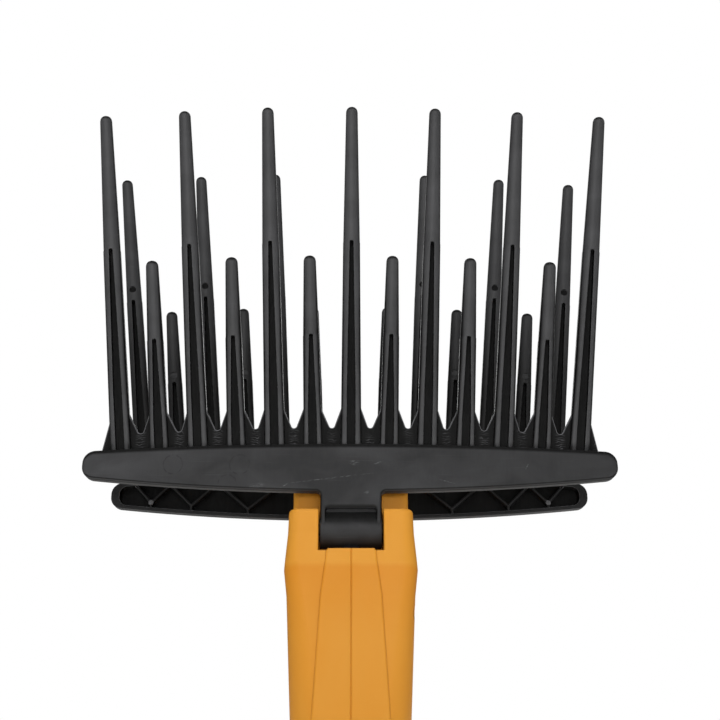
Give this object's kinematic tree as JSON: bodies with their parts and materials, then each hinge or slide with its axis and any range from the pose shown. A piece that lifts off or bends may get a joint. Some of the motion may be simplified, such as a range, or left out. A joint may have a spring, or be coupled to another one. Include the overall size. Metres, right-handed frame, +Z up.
{
  "type": "electric olive harvester head",
  "caption": "Pole-mounted olive harvester head: two fanned combs hinged on a motor housing swing apart and together to shake fruit from a branch.",
  "frame": {"origin": "centre of the pole socket's mouth at the lower end of the housing", "axes": "+Z up along the tines, +X along the combs, the front comb on the -Y side"},
  "size_m": [0.3876, 0.1126, 0.5541],
  "materials": {
    "comb_nylon": "black glass-filled nylon, moulded satin",
    "housing_abs": "orange ABS, moulded fine texture",
    "hardened_steel": "ground and hardened",
    "bearing_steel": "polished rings",
    "sintered_bronze": "sintered, oiled",
    "die_cast_aluminium": "die cast, bead blasted",
    "guide_acetal": "machined acetal",
    "zinc_screw": "zinc plated",
    "motor_steel": "drawn steel can, nickel plated",
    "ferrite": "sintered ferrite",
    "rotor_steel": "stacked laminations",
    "motor_plastic": "moulded",
    "contact_brass": "tinned strip",
    "lead_insulation": "soft extruded insulation"
  },
  "bodies": {
    "housing": {"housing_left": "housing_abs", "housing_right": "housing_abs", "housing_screws": "zinc_screw", "front_hinge_pin": "hardened_steel", "rear_hinge_pin": "hardened_steel", "left_guide_rail": "guide_acetal", "right_guide_rail": "guide_acetal", "bearing_bridge": "die_cast_aluminium", "bridge_screws": "zinc_screw", "upper_shaft_bearing": "bearing_steel", "lower_shaft_bearing": "bearing_steel", "ring_gear": "hardened_steel", "gear_case": "die_cast_aluminium", "gear_case_lid": "die_cast_aluminium", "lid_screws": "zinc_screw", "motor_can": "motor_steel", "motor_magnets": "ferrite", "motor_end_cap": "motor_plastic", "motor_terminals": "contact_brass", "motor_screws": "zinc_screw", "motor_leads": "lead_insulation", "lead_connector": "motor_plastic", "pole_socket": "die_cast_aluminium", "pole_clamp_screws": "zinc_screw"},
    "front_comb": {"front_comb": "comb_nylon", "front_drive_arm": "hardened_steel", "front_hinge_bushes": "sintered_bronze"},
    "rear_comb": {"rear_comb": "comb_nylon", "rear_drive_arm": "hardened_steel", "rear_hinge_bushes": "sintered_bronze"},
    "front_yoke": {"front_yoke": "die_cast_aluminium", "front_yoke_pin": "hardened_steel"},
    "rear_yoke": {"rear_yoke": "die_cast_aluminium", "rear_yoke_pin": "hardened_steel"},
    "crank": {"eccentric_shaft": "hardened_steel", "front_eccentric": "hardened_steel", "rear_eccentric": "hardened_steel", "front_eccentric_bearing": "bearing_steel", "rear_eccentric_bearing": "bearing_steel", "planet_carrier": "hardened_steel", "planet_pins": "hardened_steel"},
    "planet_1": {"planet_gear_1": "hardened_steel"},
    "planet_2": {"planet_gear_2": "hardened_steel"},
    "planet_3": {"planet_gear_3": "hardened_steel"},
    "rotor": {"motor_rotor": "rotor_steel", "sun_pinion": "hardened_steel"}
  },
  "joints": [
    {"name": "front_comb_swing", "type": "hinge", "parent": "housing", "child": "front_comb", "pos_m": [0, -0.038, 0.23], "axis": [1, 0, 0], "range_deg": [-7, 7]},
    {"name": "rear_comb_swing", "type": "hinge", "parent": "housing", "child": "rear_comb", "pos_m": [0, 0.038, 0.23], "axis": [-1, 0, 0], "range_deg": [-7, 7]},
    {"name": "front_yoke_slide", "type": "slide", "parent": "housing", "child": "front_yoke", "axis": [0, 1, 0], "range_m": [-0.0037, 0.0037]},
    {"name": "rear_yoke_slide", "type": "slide", "parent": "housing", "child": "rear_yoke", "axis": [0, -1, 0], "range_m": [-0.0037, 0.0037]},
    {"name": "crank_spin", "type": "hinge", "parent": "housing", "child": "crank", "pos_m": [0, 0, 0.2], "axis": [0, 0, 1], "range_deg": [-90, 90]},
    {"name": "rotor_spin", "type": "hinge", "parent": "housing", "child": "rotor", "pos_m": [0, 0, 0.12], "axis": [0, 0, 1], "range_deg": [-360, 360]},
    {"name": "planet_1_spin", "type": "hinge", "parent": "crank", "child": "planet_1", "pos_m": [0.0165, 0, 0.166], "axis": [0, 0, 1], "range_deg": [-270, 270]},
    {"name": "planet_2_spin", "type": "hinge", "parent": "crank", "child": "planet_2", "pos_m": [-0.00825, 0.01429, 0.166], "axis": [0, 0, 1], "range_deg": [-270, 270]},
    {"name": "planet_3_spin", "type": "hinge", "parent": "crank", "child": "planet_3", "pos_m": [-0.00825, -0.01429, 0.166], "axis": [0, 0, 1], "range_deg": [-270, 270]}
  ],
  "couplings": [
    {"joint": "rear_comb_swing", "follows": "front_comb_swing", "ratio": 1},
    {"joint": "front_yoke_slide", "follows": "front_comb_swing", "m_per_rad": 0.03},
    {"joint": "rear_yoke_slide", "follows": "front_comb_swing", "m_per_rad": 0.03},
    {"joint": "crank_spin", "follows": "front_comb_swing", "ratio": 12.857},
    {"joint": "rotor_spin", "follows": "front_comb_swing", "ratio": 51.428},
    {"joint": "planet_1_spin", "follows": "front_comb_swing", "ratio": -38.571},
    {"joint": "planet_2_spin", "follows": "front_comb_swing", "ratio": -38.571},
    {"joint": "planet_3_spin", "follows": "front_comb_swing", "ratio": -38.571}
  ]
}
